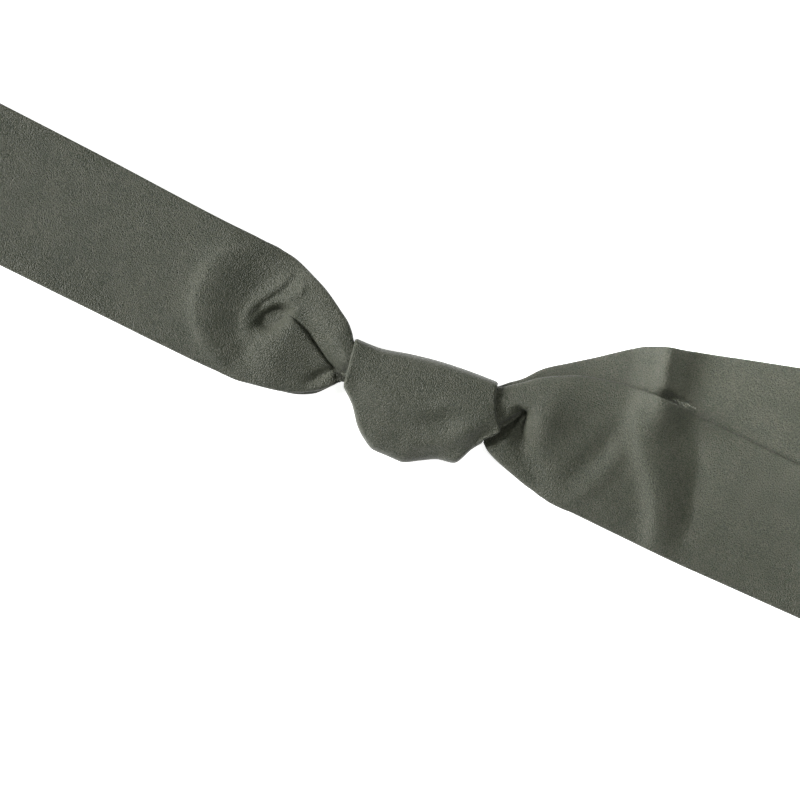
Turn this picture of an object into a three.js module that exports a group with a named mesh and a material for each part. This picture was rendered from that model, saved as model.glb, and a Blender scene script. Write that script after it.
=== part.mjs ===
// A waist strap of soft coated cloth, tied in a half knot and laid flat.
// The frame is in millimetres: +X runs along the strap to its free ends, +Z is up, and the origin is on the
// surface that the strap lies on, under the middle of the knot.
import * as THREE from "three";

// Driving dimensions
const CLOTH = 1.3; // the strap's thickness: two layers of coated cloth
const AIR = 0.7; // between two layers that lie on each other
const PITCH = CLOTH + AIR; // from the middle of one layer to the middle of the next
const FLOOR = CLOTH / 2; // the height of the middle of a layer on the floor
const ACROSS = 20; // points across a strand
const WRAP_ACROSS = 17; // points across the knot's wrap
const BEND_STEPS = 3; // points along each turn of the knot's wrap
const LIP = 1.5; // an edge first bends down by this much, and the rest of its hem turns under
const CROWD = 3.2; // how strongly points crowd into a bend, in millimetres a radian
const PATH_STEPS = 30; // points along a fold
const SHARPEST = 0.12; // a step shorter than this is too small a bend to crowd into, in millimetres

// A table's rows, with a name for each column
const table = (columns, rows) =>
  rows.map((row) => Object.fromEntries(columns.split(" ").map((name, i) => [name, row[i]])));

// The inner ends, hidden in the knot
const LOOP_END = -7;
const TAIL_START = -5.5;

// Front strand of the loop. top, bottom: its outline. lip: the edge of the pleat that runs into the knot. rim:
// height of the top edge. crown: of the cone above the pleat. valley: where the cone slips under the lip. rise:
// from the valley to the lip. tuck: how far the cone slips under. belly, low: height of the lower panel and of its
// bottom edge. hem: what each edge turns under.
const FRONT_STRAND = table("x top bottom lip rim crown valley rise tuck belly low hem", [
  [-260, 39.1, -31.3, 4, 0, 0, 0, 0, 0, 0, 0, 0],
  [-190, 37.5, -31.6, 4, 1.1, 1.1, 1.1, 0, 0, 1.1, 1.1, 0],
  [-145, 35.9, -31.8, 4, 2.6, 2.6, 2.6, 0, 0, 2.6, 2.6, 0],
  [-120, 35.3, -31.9, 6, 3.2, 4, 4, 0, 0, 4, 3.2, 0],
  [-100, 35, -31.7, 8.5, 2.8, 4.5, 4.5, 0, 0, 4.5, 2.8, 0],
  [-92, 34.4, -31.2, 9.4, 2.8, 4.7, 4.8, 0, 0, 4.8, 2.8, 0.2],
  [-86, 33.4, -30.7, 9.6, 3.2, 5, 5.1, 0.1, 0, 5.1, 3, 0.8],
  [-80, 31.6, -29.5, 9, 4, 5.6, 4.4, 1.4, 0.2, 5.6, 3, 1.5],
  [-74, 29.4, -28.3, 6.8, 5.2, 6.4, 2.6, 3.4, 1.2, 5, 2.9, 2.6],
  [-68, 27.1, -27, 4.5, 6.2, 7.2, 1.6, 4, 2.2, 4.2, 2.7, 3.8],
  [-62, 24.1, -25.3, 1.3, 7, 8, 1, 4, 3, 3.2, 2.5, 4.6],
  [-56, 20.6, -22.6, -1.8, 7.4, 8.6, 0.7, 4, 3.2, 2.6, 2.2, 5],
  [-50, 17, -19, -4.8, 7.4, 8.8, 0.6, 4, 2.8, 2.4, 2, 4],
  [-46, 13.2, -15.4, -6, 6.6, 7.8, 0.6, 4, 2, 2.8, 2.2, 3],
  [-43.5, 10, -12.6, -6.4, 5.4, 6.6, 0.6, 3.8, 1, 3, 2.4, 2],
  [-40, 8.6, -8.9, -5, 4.6, 5.8, 1, 2, 0.2, 2.8, 2.2, 1.5],
  [-36, 8.6, -8.2, -4, 4.4, 5.4, 2, 0.4, 0, 2.4, 2.2, 1.5],
  [LOOP_END, 9, -8, -4, 4.4, 5.4, 2, 0.4, 0, 2.4, 2.2, 1.5],
]);

// Back strand of the loop, on the floor. height: of its panel above the floor.
const BACK_STRAND = [
  { x: -370, top: 39.6, bottom: -31.1, height: 0, hem: 0 },
  { x: -190, top: 37, bottom: -31.1, height: 0, hem: 0 },
  { x: -112, top: 34.9, bottom: -31.4, height: 0, hem: 0 },
  { x: -97, top: 35.3, bottom: -30.9, height: 0.1, hem: 0 },
  { x: -84, top: 32.4, bottom: -29.3, height: 1.2, hem: 1 },
  { x: -72, top: 27.9, bottom: -27.2, height: PITCH, hem: 5 },
  { x: -60, top: 22.2, bottom: -25, height: PITCH, hem: 8.5 },
  { x: -50, top: 16.2, bottom: -20.3, height: 2.6, hem: 9 },
  { x: -46, top: 12.6, bottom: -16.2, height: 3.4, hem: 8 },
  { x: -43.5, top: 9.6, bottom: -12.8, height: 3.8, hem: 7 },
  { x: -40, top: 8.4, bottom: -8.8, height: 2 * PITCH, hem: 6 },
  { x: LOOP_END, top: 8.6, bottom: -8, height: 2 * PITCH, hem: 6 },
];

// The loop's far bend, seen from the side: the corners that its soft curve is drawn within
const FAR_BEND = [
  { x: -260, z: FLOOR + PITCH },
  { x: -290, z: FLOOR + PITCH },
  { x: -330, z: 6.6 },
  { x: -376, z: 12.4 },
  { x: -397, z: 11 },
  { x: -397, z: FLOOR },
  { x: -384, z: FLOOR },
  { x: -370, z: FLOOR },
];

// Folds: each is a ridge, or a valley where its height is below 0, along a soft curve through its rows. left,
// right: its reach on each side, seen along the curve.
const LOOP_FOLDS = {
  outerRidge: [
    { x: -110, y: 27, left: 14, right: 6, height: 0.7 },
    { x: -119, y: 17, left: 16, right: 6, height: 1.7 },
    { x: -121, y: 4, left: 16, right: 6, height: 2.1 },
    { x: -117, y: -10, left: 14, right: 6, height: 2.1 },
    { x: -107, y: -21, left: 11, right: 6, height: 2 },
    { x: -90, y: -28, left: 9, right: 6, height: 0.9 },
  ],
  bowlBehindIt: [
    { x: -83, y: 29, left: 6, right: 12, height: -1 },
    { x: -92.5, y: 16, left: 7, right: 15, height: -2.2 },
    { x: -94, y: 4, left: 7, right: 15, height: -2.4 },
    { x: -90.5, y: -8, left: 6, right: 14, height: -2.2 },
    { x: -89, y: -24, left: 6, right: 9, height: -1 },
  ],
  dimple: [
    { x: -88, y: -5, left: 4, right: 3.6, height: -1 },
    { x: -84.6, y: -1, left: 4.6, right: 4, height: -3.4 },
    { x: -82, y: 4, left: 4.6, right: 4, height: -4 },
    { x: -79.6, y: 9, left: 3.6, right: 3.6, height: -1.6 },
  ],
};

// Front tail, straight out of the knot. rim, crown, belly, low: heights from its top edge to its bottom edge,
// above what it rests on.
const FRONT_TAIL = table("topX topY bottomX bottomY rim crown belly low hem", [
  [TAIL_START, 8.8, TAIL_START, -8, 5.4, 5.4, 5.4, 5.4, 5],
  [16, 14, 16, -5.6, 5.4, 5.4, 5.4, 5.4, 6],
  [27, 19.6, 28, -4, 5.4, 6.4, 5.8, 5.2, 7],
  [30, 20.8, 32.4, -4, 5.4, 6.8, 6.2, 5, 7.5],
  [34, 23.6, 35.4, -6.4, 5.2, 7.2, 6.3, 4.6, 7.5],
  [38, 27, 38, -8.3, 5, 7.4, 6.2, 3.8, 7],
  [45, 33, 45, -11, 4.6, 7.4, 6, 3, 5.5],
  [54, 38.6, 54, -13.4, 4, 6.8, 5.2, 2.4, 3.5],
  [64, 43.4, 64, -15.8, 3.6, 5.8, 4.2, 2, 1.5],
  [76, 46.8, 76, -17.7, 3.2, 4.8, 3.4, 1.2, 0.5],
  [88, 49.7, 88, -17.9, 3, 3.9, 2.6, 0.8, 0],
  [97, 50.6, 97, -17.9, 3, 3.5, 2.2, 0.6, 0],
  [108, 51, 108, -17.9, 3, 2.9, 1.8, 0.4, 0],
  [122, 51.1, 122, -17.9, 2.2, 1.6, 1, 0.2, 0],
  [140, 51.2, 140, -17.8, 0.8, 0.4, 0.2, 0, 0],
  [226, 51.3, 226, -15, 0, 0, 0, 0, 0],
]);

const FRONT_TAIL_FOLDS = {
  pocket: [
    { x: 36, y: 3, left: 1.8, right: 4.4, height: -4.4 },
    { x: 41, y: 10, left: 1.8, right: 4.6, height: -5.8 },
    { x: 45.5, y: 14.5, left: 1.8, right: 4.4, height: -5 },
    { x: 48.5, y: 8, left: 2.4, right: 4.6, height: -4.4 },
    { x: 51.5, y: 1.5, left: 3.5, right: 5, height: -3 },
    { x: 57, y: -4, left: 5, right: 6, height: -1.2 },
  ],
  crossRidge: [
    { x: 97, y: 47, left: 12, right: 6, height: 0.6 },
    { x: 98, y: 38, left: 12, right: 6, height: 1.8 },
    { x: 109.5, y: 21, left: 12, right: 7, height: 3.4 },
    { x: 122.5, y: 4, left: 12, right: 7, height: 3.2 },
    { x: 131, y: -16, left: 10, right: 7, height: 1.4 },
  ],
  footOfTheCrossRidge: [
    { x: 119, y: 45, left: 6, right: 8, height: -0.3 },
    { x: 137, y: 27, left: 6, right: 8, height: -0.7 },
    { x: 147, y: 8, left: 6, right: 8, height: -0.6 },
  ],
};

// Back tail, fanned away under the front one
const BACK_TAIL = table("topX topY bottomX bottomY rim crown belly low hem", [
  [TAIL_START, 8.6, TAIL_START, -7.6, 4, 4, 4, 4, 6],
  [16, 15, 16, -6, 4, 4, 4, 4, 7],
  [26, 19.4, 27, -4, 4, 4, 4, 4, 8],
  [29, 20.8, 31, -4, 3.6, 3.6, 3.6, 3.6, 8],
  [33, 24.8, 35, -4.8, 3.2, 3.2, 3.2, 3.2, 9],
  [38, 29.2, 39, -5.6, 3, 3, 3, 3, 9],
  [45, 38, 48, -7, 2.8, 2.8, 2.8, 2.8, 8],
  [55, 46, 62, -8, 2.8, 2.8, 2.8, 2.8, 6],
  [65, 53.8, 78, -7, 2.8, 2.8, 2.8, 2.6, 4],
  [80, 66, 98, -2.5, 3.2, 3.2, 2.2, 1.6, 1.5],
  [88, 71.5, 108, 2.2, 4.2, 4, 1.6, 0.8, 0],
  [95, 74.6, 115, 6.5, 5.6, 5, 1, 0.3, 0],
  [101, 76.2, 121.4, 9.3, 4.2, 3.6, 0.6, 0.1, 0],
  [108, 78.4, 128.5, 11.6, 1.8, 1.4, 0.2, 0, 0],
  [114, 80.2, 134.5, 13.4, 0.3, 0.2, 0, 0, 0],
  [130, 85.3, 150.5, 18.4, 0, 0, 0, 0, 0],
  [174, 98.8, 194.5, 31.9, 0, 0, 0, 0, 0],
]);

// The wrap's fold along the knot's top edge and the crumpled one along its bottom edge, from the left side of the
// band at 0 to its right side at 1
const WRAP_TOP = [
  { side: 0, x: -43, y: 11.5 },
  { side: 0.14, x: -32, y: 12.2 },
  { side: 0.4, x: -15, y: 16.5 },
  { side: 0.62, x: 0, y: 19.6 },
  { side: 0.82, x: 15, y: 21.5 },
  { side: 1, x: 28, y: 22.6 },
];
const WRAP_BOTTOM = [
  { side: 0, x: -38.5, y: -10.5 },
  { side: 0.1, x: -30.5, y: -16.8 },
  { side: 0.2, x: -23, y: -25.5 },
  { side: 0.28, x: -18, y: -29.2 },
  { side: 0.36, x: -11.5, y: -32 },
  { side: 0.44, x: -4, y: -31.6 },
  { side: 0.52, x: 2, y: -31.4 },
  { side: 0.62, x: 10, y: -27 },
  { side: 0.72, x: 18, y: -22.4 },
  { side: 0.82, x: 25.6, y: -20.6 },
  { side: 0.92, x: 30.2, y: -11 },
  { side: 1, x: 33.4, y: -6 },
];

// Once round the wrap. reach: 0 at the top fold and 1 at the bottom fold. rim, middle: heights at the band's sides
// and in its middle. tip: how far the right side stands out.
const WRAP_ROUND = [
  { reach: 0.72, rim: FLOOR, middle: FLOOR, tip: 0 },
  { reach: 0.4, rim: FLOOR, middle: FLOOR, tip: 0 },
  { reach: 0.08, rim: FLOOR, middle: FLOOR, tip: 0 },
  { reach: 0, rim: FLOOR, middle: FLOOR, tip: 0 },
  { reach: 0, rim: 15, middle: 14, tip: 0 },
  { reach: 0.14, rim: 15.4, middle: 15.4, tip: 0 },
  { reach: 0.34, rim: 15.5, middle: 15.6, tip: 1.4 },
  { reach: 0.54, rim: 15.5, middle: 15, tip: 3.6 },
  { reach: 0.72, rim: 15.5, middle: 12.6, tip: 8.6 },
  { reach: 0.88, rim: 15.2, middle: 9.6, tip: 1.8 },
  { reach: 1, rim: 14, middle: 7.6, tip: 0 },
  { reach: 1, rim: FLOOR, middle: FLOOR, tip: 0 },
  { reach: 0.92, rim: FLOOR, middle: FLOOR, tip: 0 },
  { reach: 0.75, rim: FLOOR, middle: FLOOR, tip: 0 },
];
const WRAP_FOLDS = {
  creaseBeforeTheLowerEdge: [
    { x: -21, y: -26.5, left: 8, right: 2.6, height: 0.5 },
    { x: 1, y: -27.6, left: 12, right: 3.4, height: 1.6 },
    { x: 19.4, y: -11, left: 12, right: 5.4, height: 2.4 },
    { x: 33, y: 6.4, left: 8, right: 3.6, height: 1 },
  ],
};

// A value read smoothly from a table, without overshooting its rows
function smooth(rows, key, name, at) {
  const last = rows.length - 1;
  const slope = (i) => (rows[i + 1][name] - rows[i][name]) / (rows[i + 1][key] - rows[i][key]);
  const tangent = (i) => {
    if (i === 0) return slope(0);
    if (i === last) return slope(last - 1);
    const before = slope(i - 1);
    const after = slope(i);
    return before * after <= 0 ? 0 : (2 * before * after) / (before + after);
  };
  if (at <= rows[0][key]) return rows[0][name];
  if (at >= rows[last][key]) return rows[last][name];
  const i = rows.findIndex((row, n) => n < last && at <= rows[n + 1][key]);
  const span = rows[i + 1][key] - rows[i][key];
  const t = (at - rows[i][key]) / span;
  const keep = 1 - t;
  return (
    rows[i][name] * keep * keep * (1 + 2 * t) +
    tangent(i) * span * t * keep * keep +
    rows[i + 1][name] * t * t * (3 - 2 * t) -
    tangent(i + 1) * span * t * t * keep
  );
}

// One row between the rows of a table
function rowAt(rows, key, at) {
  const row = {};
  for (const name of Object.keys(rows[0])) row[name] = name === key ? at : smooth(rows, key, name, at);
  return row;
}

// Points along each fold's curve, with the way ahead at each
function foldPaths(folds) {
  return Object.values(folds).map((rows) => {
    let at = 0;
    const keyed = rows.map((row, i) => {
      if (i > 0) at += Math.hypot(row.x - rows[i - 1].x, row.y - rows[i - 1].y);
      return { ...row, at };
    });
    const shares = Array.from({ length: PATH_STEPS }, (_, n) => n / (PATH_STEPS - 1));
    const path = shares.map((share) => rowAt(keyed, "at", at * share));
    return path.map((point, n) => {
      const from = path[Math.max(n - 1, 0)];
      const to = path[Math.min(n + 1, PATH_STEPS - 1)];
      return { ...point, ahead: Math.atan2(to.y - from.y, to.x - from.x) };
    });
  });
}

// The height that the folds add at a place
function foldHeight(paths, x, y) {
  let total = 0;
  for (const path of paths) {
    let most = 0;
    for (const point of path) {
      const away = Math.hypot(x - point.x, y - point.y);
      const side = Math.sin(Math.atan2(y - point.y, x - point.x) - point.ahead);
      const reach = point.right + (point.left - point.right) * (0.5 + 0.5 * side);
      const height = point.height * Math.exp(-((away / reach) ** 2));
      if (Math.abs(height) > Math.abs(most)) most = height;
    }
    total += most;
  }
  return total;
}

// A soft curve drawn within a row of corners
function roundedCurve(corners, steps) {
  const points = [corners[0].clone()];
  for (let i = 1; i < corners.length - 1; i += 1) {
    const start = i === 1 ? corners[0] : corners[i - 1].clone().lerp(corners[i], 0.5);
    const end = i === corners.length - 2 ? corners[i + 1] : corners[i].clone().lerp(corners[i + 1], 0.5);
    const bend = new THREE.QuadraticBezierCurve3(start, corners[i], end);
    for (let n = 1; n <= steps; n += 1) points.push(bend.getPoint(n / steps));
  }
  return points;
}

// The same curve with a set number of points, which crowd into its bends
function respaced(points, count) {
  const cost = [0];
  for (let i = 1; i < points.length; i += 1) {
    const step = points[i].clone().sub(points[i - 1]);
    const before = i > 1 ? points[i - 1].clone().sub(points[i - 2]) : step;
    const turned = step.length() * before.length() > 0 ? step.angleTo(before) : 0;
    cost.push(cost[i - 1] + step.length() + CROWD * turned * Math.min(1, step.length() / SHARPEST));
  }
  const total = cost[cost.length - 1];
  let i = 1;
  return Array.from({ length: count }, (_, n) => {
    const want = (total * n) / (count - 1);
    while (i < cost.length - 1 && cost[i] < want) i += 1;
    const share = (want - cost[i - 1]) / (cost[i] - cost[i - 1] || 1);
    return points[i - 1].clone().lerp(points[i], Math.min(1, Math.max(0, share)));
  });
}

// A cross-section from a top edge to a bottom edge. corners holds pairs of reach and height.
function section(top, bottom, corners, restAt, paths) {
  const across = bottom.clone().sub(top).normalize();
  const places = corners.map(
    ([reach, z]) => new THREE.Vector3(top.x + across.x * reach, top.y + across.y * reach, z),
  );
  const points = respaced(roundedCurve(places, 8), ACROSS);
  for (const p of points) p.z = restAt(p.x, p.y) + Math.max(0, p.z + foldHeight(paths, p.x, p.y));
  return points;
}

// How far a row's edges turn under, and how far down
const hemUnder = (row) => Math.max(0, row.hem - LIP);
const hemDown = (row) => PITCH * Math.min(1, row.hem / LIP);

// The corners of the loop's front strand, with its pleat
function pleatCorners(row) {
  const width = row.top - row.bottom;
  const lip = row.top - row.lip;
  const below = width - lip;
  const under = hemUnder(row);
  const down = hemDown(row);
  const onLip = row.valley + row.rise;
  return [
    [under, row.rim - down],
    [0, row.rim - down],
    [0, row.rim],
    [lip * 0.25, row.crown * 0.8 + row.rim * 0.2],
    [lip * 0.58, row.crown],
    [lip - 1, row.valley],
    [lip + row.tuck, row.valley],
    [lip + row.tuck, row.valley + row.rise / 2],
    [lip, row.valley + row.rise / 2],
    [lip, onLip],
    [lip + row.tuck + below * 0.18, onLip * 0.9 + row.belly * 0.1],
    [lip + below * 0.66, row.belly],
    [width, row.low],
    [width, row.low - down],
    [width - under, row.low - down],
  ];
}

// A plain panel's height at a share of its width
function panelHeight(row, share) {
  const across = [
    { share: 0, z: row.rim },
    { share: 0.35, z: row.crown },
    { share: 0.68, z: row.belly },
    { share: 1, z: row.low },
  ];
  return smooth(across, "share", "z", share);
}

// The corners of a plain panel
function panelCorners(row, width) {
  const under = hemUnder(row);
  const down = hemDown(row);
  return [
    [under, row.rim - down],
    [0, row.rim - down],
    [0, row.rim],
    ...[0.15, 0.35, 0.52, 0.68, 0.85].map((share) => [width * share, panelHeight(row, share)]),
    [width, row.low],
    [width, row.low - down],
    [width - under, row.low - down],
  ];
}

// Steps from one place to the next, no longer than the rows ask
function steps(spans) {
  const places = [];
  for (const span of spans) {
    const count = Math.max(1, Math.round(Math.abs(span.to - span.from) / span.step));
    for (let i = 0; i < count; i += 1) places.push(span.from + ((span.to - span.from) * i) / count);
  }
  places.push(spans[spans.length - 1].to);
  return places;
}

// A closed solid round a sheet: rows of points become its two faces, its sides and its ends
function sheetSolid(rows) {
  const long = rows.length;
  const wide = rows[0].length;
  const at = (i, j) => rows[Math.min(long - 1, Math.max(0, i))][Math.min(wide - 1, Math.max(0, j))];
  const positions = [];
  for (const face of [1, -1]) {
    for (let i = 0; i < long; i += 1) {
      for (let j = 0; j < wide; j += 1) {
        const along = at(i + 1, j).clone().sub(at(i - 1, j));
        const across = at(i, j + 1).clone().sub(at(i, j - 1));
        const normal = across.cross(along).normalize();
        positions.push(...at(i, j).clone().addScaledVector(normal, (face * CLOTH) / 2).toArray());
      }
    }
  }
  const index = [];
  const id = (face, i, j) => (face * long + i) * wide + j;
  const quad = (a, b, c, d) => index.push(a, b, c, a, c, d);
  for (let i = 0; i < long - 1; i += 1) {
    for (let j = 0; j < wide - 1; j += 1) {
      quad(id(0, i, j), id(0, i, j + 1), id(0, i + 1, j + 1), id(0, i + 1, j));
      quad(id(1, i, j), id(1, i + 1, j), id(1, i + 1, j + 1), id(1, i, j + 1));
    }
    quad(id(0, i, 0), id(0, i + 1, 0), id(1, i + 1, 0), id(1, i, 0));
    quad(id(0, i, wide - 1), id(1, i, wide - 1), id(1, i + 1, wide - 1), id(0, i + 1, wide - 1));
  }
  for (let j = 0; j < wide - 1; j += 1) {
    quad(id(0, 0, j), id(1, 0, j), id(1, 0, j + 1), id(0, 0, j + 1));
    quad(id(0, long - 1, j), id(0, long - 1, j + 1), id(1, long - 1, j + 1), id(1, long - 1, j));
  }
  const geometry = new THREE.BufferGeometry();
  geometry.setAttribute("position", new THREE.Float32BufferAttribute(positions, 3));
  geometry.setIndex(index);
  geometry.computeVertexNormals();
  return geometry;
}

// The loop: its front strand out to the left, the far bend, and its back strand home along the floor
function waistLoop() {
  const folds = foldPaths(LOOP_FOLDS);
  const onBack = (x) => FLOOR + smooth(BACK_STRAND, "x", "height", x) + PITCH;
  const edges = (row) => [new THREE.Vector3(row.x, row.top, 0), new THREE.Vector3(row.x, row.bottom, 0)];
  const front = steps([
    { from: LOOP_END, to: -37, step: 10 },
    { from: -37, to: -58, step: 3 },
    { from: -58, to: -100, step: 4.2 },
    { from: -100, to: -128, step: 5.6 },
    { from: -128, to: -148, step: 20 },
    { from: -148, to: -260, step: 37 },
  ]).map((x) => {
    const row = rowAt(FRONT_STRAND, "x", x);
    return section(...edges(row), pleatCorners(row), onBack, folds);
  });
  const back = steps([
    { from: -370, to: -120, step: 80 },
    { from: -120, to: -60, step: 12 },
    { from: -60, to: -37, step: 4 },
    { from: -37, to: LOOP_END, step: 15 },
  ]).map((x) => {
    const row = rowAt(BACK_STRAND, "x", x);
    const even = { ...row, rim: row.height, crown: row.height, belly: row.height, low: row.height };
    return section(...edges(row), panelCorners(even, row.top - row.bottom), () => FLOOR, []);
  });
  const side = roundedCurve(FAR_BEND.map((corner) => new THREE.Vector3(corner.x, 0, corner.z)), 6);
  const bend = respaced(side, 16)
    .slice(1, -1)
    .map((middle, n) => {
      const share = (n + 1) / 15;
      return front[front.length - 1].map((p, j) => {
        const y = THREE.MathUtils.lerp(p.y, back[0][j].y, share);
        return new THREE.Vector3(middle.x, y, middle.z);
      });
    });
  return sheetSolid([...front, ...bend, ...back]);
}

// A free end: sections from its plain cut end to its inner end in the knot
function tail(rows, restAt, folds, spans) {
  const keyed = rows.map((row) => ({ ...row, key: row.topX }));
  const paths = foldPaths(folds);
  const sections = steps(spans).map((key) => {
    const row = rowAt(keyed, "key", key);
    const top = new THREE.Vector3(row.topX, row.topY, 0);
    const bottom = new THREE.Vector3(row.bottomX, row.bottomY, 0);
    return section(top, bottom, panelCorners(row, top.distanceTo(bottom)), restAt, paths);
  });
  return sheetSolid(sections.reverse());
}

// The row of a tail whose section passes through a place
function tailRowAt(rows, x, y) {
  const keyed = rows.map((row) => ({ ...row, key: row.topX }));
  let row = rowAt(keyed, "key", x);
  for (let n = 0; n < 4; n += 1) {
    const lean = (row.bottomX - row.topX) / (row.topY - row.bottomY);
    row = rowAt(keyed, "key", x - (row.topY - y) * lean);
  }
  return row;
}

// How high the front tail rests: on the back tail, and on the floor beyond that tail's hidden edge
function frontTailRest(x, y) {
  const edge = smooth(BACK_TAIL, "bottomX", "bottomY", x);
  const onTail = THREE.MathUtils.smoothstep(y, edge - 30, edge - 2);
  const row = tailRowAt(BACK_TAIL, x, y);
  const share = THREE.MathUtils.clamp((row.topY - y) / (row.topY - row.bottomY), 0, 1);
  return FLOOR + (PITCH + panelHeight(row, share)) * onTail;
}

function frontTail() {
  return tail(FRONT_TAIL, frontTailRest, FRONT_TAIL_FOLDS, [
    { from: TAIL_START, to: 26, step: 10 },
    { from: 26, to: 53, step: 3 },
    { from: 53, to: 83, step: 6 },
    { from: 83, to: 143, step: 5.5 },
    { from: 143, to: 226, step: 28 },
  ]);
}

function backTail() {
  return tail(BACK_TAIL, () => FLOOR, {}, [
    { from: TAIL_START, to: 27, step: 11 },
    { from: 27, to: 45, step: 4.5 },
    { from: 45, to: 85, step: 8 },
    { from: 85, to: 117, step: 4 },
    { from: 117, to: 174, step: 29 },
  ]);
}

// The band round the knot, from its left side to its right side
function knotWrap() {
  const paths = foldPaths(WRAP_FOLDS);
  const lines = Array.from({ length: WRAP_ACROSS }, (_, n) => {
    const side = n / (WRAP_ACROSS - 1);
    const top = rowAt(WRAP_TOP, "side", side);
    const bottom = rowAt(WRAP_BOTTOM, "side", side);
    const middle = Math.sin(Math.PI * side) ** 0.8;
    const corners = WRAP_ROUND.map((row) => {
      const x = THREE.MathUtils.lerp(top.x, bottom.x, row.reach) + row.tip * side ** 5;
      const y = THREE.MathUtils.lerp(top.y, bottom.y, row.reach);
      return new THREE.Vector3(x, y, THREE.MathUtils.lerp(row.rim, row.middle, middle));
    });
    const line = roundedCurve(corners, BEND_STEPS);
    for (const p of line) p.z += THREE.MathUtils.smoothstep(p.z, 6, 9) * foldHeight(paths, p.x, p.y);
    return line;
  });
  return sheetSolid(lines);
}

const coatedCloth = () => new THREE.MeshStandardMaterial({ color: 0x5a5c54, roughness: 0.55, metalness: 0 });

const strap = new THREE.Group();
strap.name = "waist_strap";
for (const [name, geometry] of [
  ["waist_loop", waistLoop()],
  ["knot_wrap", knotWrap()],
  ["front_tail", frontTail()],
  ["back_tail", backTail()],
]) {
  const mesh = new THREE.Mesh(geometry, coatedCloth());
  mesh.name = name;
  strap.add(mesh);
}

export default strap;
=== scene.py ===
"""The looks of a waist strap of soft coated cloth, tied in a half knot and laid flat on a pale floor."""
import math

import bpy
import numpy as np
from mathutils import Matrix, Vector


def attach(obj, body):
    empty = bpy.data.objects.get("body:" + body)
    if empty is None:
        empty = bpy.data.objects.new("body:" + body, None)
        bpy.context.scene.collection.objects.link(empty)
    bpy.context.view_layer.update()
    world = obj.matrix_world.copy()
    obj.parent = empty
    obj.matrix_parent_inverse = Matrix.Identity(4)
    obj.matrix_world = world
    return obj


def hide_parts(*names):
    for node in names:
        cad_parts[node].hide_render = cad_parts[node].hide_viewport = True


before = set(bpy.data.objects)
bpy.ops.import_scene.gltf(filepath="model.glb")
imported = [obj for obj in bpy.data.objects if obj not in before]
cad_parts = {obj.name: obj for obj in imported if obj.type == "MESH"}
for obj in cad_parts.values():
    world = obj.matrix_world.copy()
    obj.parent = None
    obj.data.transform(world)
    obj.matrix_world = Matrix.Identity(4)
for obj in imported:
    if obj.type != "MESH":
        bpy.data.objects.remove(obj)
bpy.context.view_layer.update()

MM = 0.001  # metres

# Driving sizes of the strap, in millimetres
CLOTH = 1.3  # the strap's thickness: two layers of coated cloth
AIR = 0.7  # between two layers that lie on each other
PITCH = CLOTH + AIR  # from the middle of one layer to the middle of the next
FLOOR = CLOTH / 2  # the height of the middle of a layer on the floor
LIP = 1.5  # an edge first bends down by this much, and the rest of its hem turns under
BORDER = 8  # an edge's own height reaches this far in, or a quarter of the strap's width where that is less
BEFORE_LIP = 0.8  # the cone reaches its valley this far before the lip of the pleat
EDGE_ROUND = 0.8  # how far in from a bare edge the cloth reaches its full thickness

# Where the lengths of the strap end, in millimetres along it
LOOP_END = -7  # the loop's inner ends, hidden in the knot
KNOT_LEFT = -37  # the loop comes out of the knot
BEND_START = -260  # the far bend leaves the front strand
BEND_END = -370  # and comes down to the back strand
TAIL_START = -5.5  # the tails' inner ends, hidden in the knot
FRONT_TAIL_END = 226
BACK_TAIL_END = 174

# How finely the sheets are drawn
ACROSS = 104  # points across the strap
BEND_ALONG = 90  # points along the far bend
WRAP_ACROSS = 90  # points across the band round the knot
WRAP_ALONG = 150  # points once round that band
SECTION_STEPS = 12  # steps at each corner of a section across the strap
BEND_STEPS = 24  # steps at each corner of the far bend
WRAP_STEPS = 14  # steps at each corner of the band round the knot
FOLD_STEPS = 70  # places along a fold from which its reach is measured
CROWD = 2.4  # how strongly points crowd into a bend, in millimetres a radian
SHARPEST = 0.05  # a step shorter than this, in millimetres, is too small a bend to crowd into
TINY = 1e-9  # keeps a division by a length safe where that length is 0


def table(names, *rows):
    """Rows of values under named columns."""
    return {name: np.array(column, float) for name, column in zip(names.split(), zip(*rows))}


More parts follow.
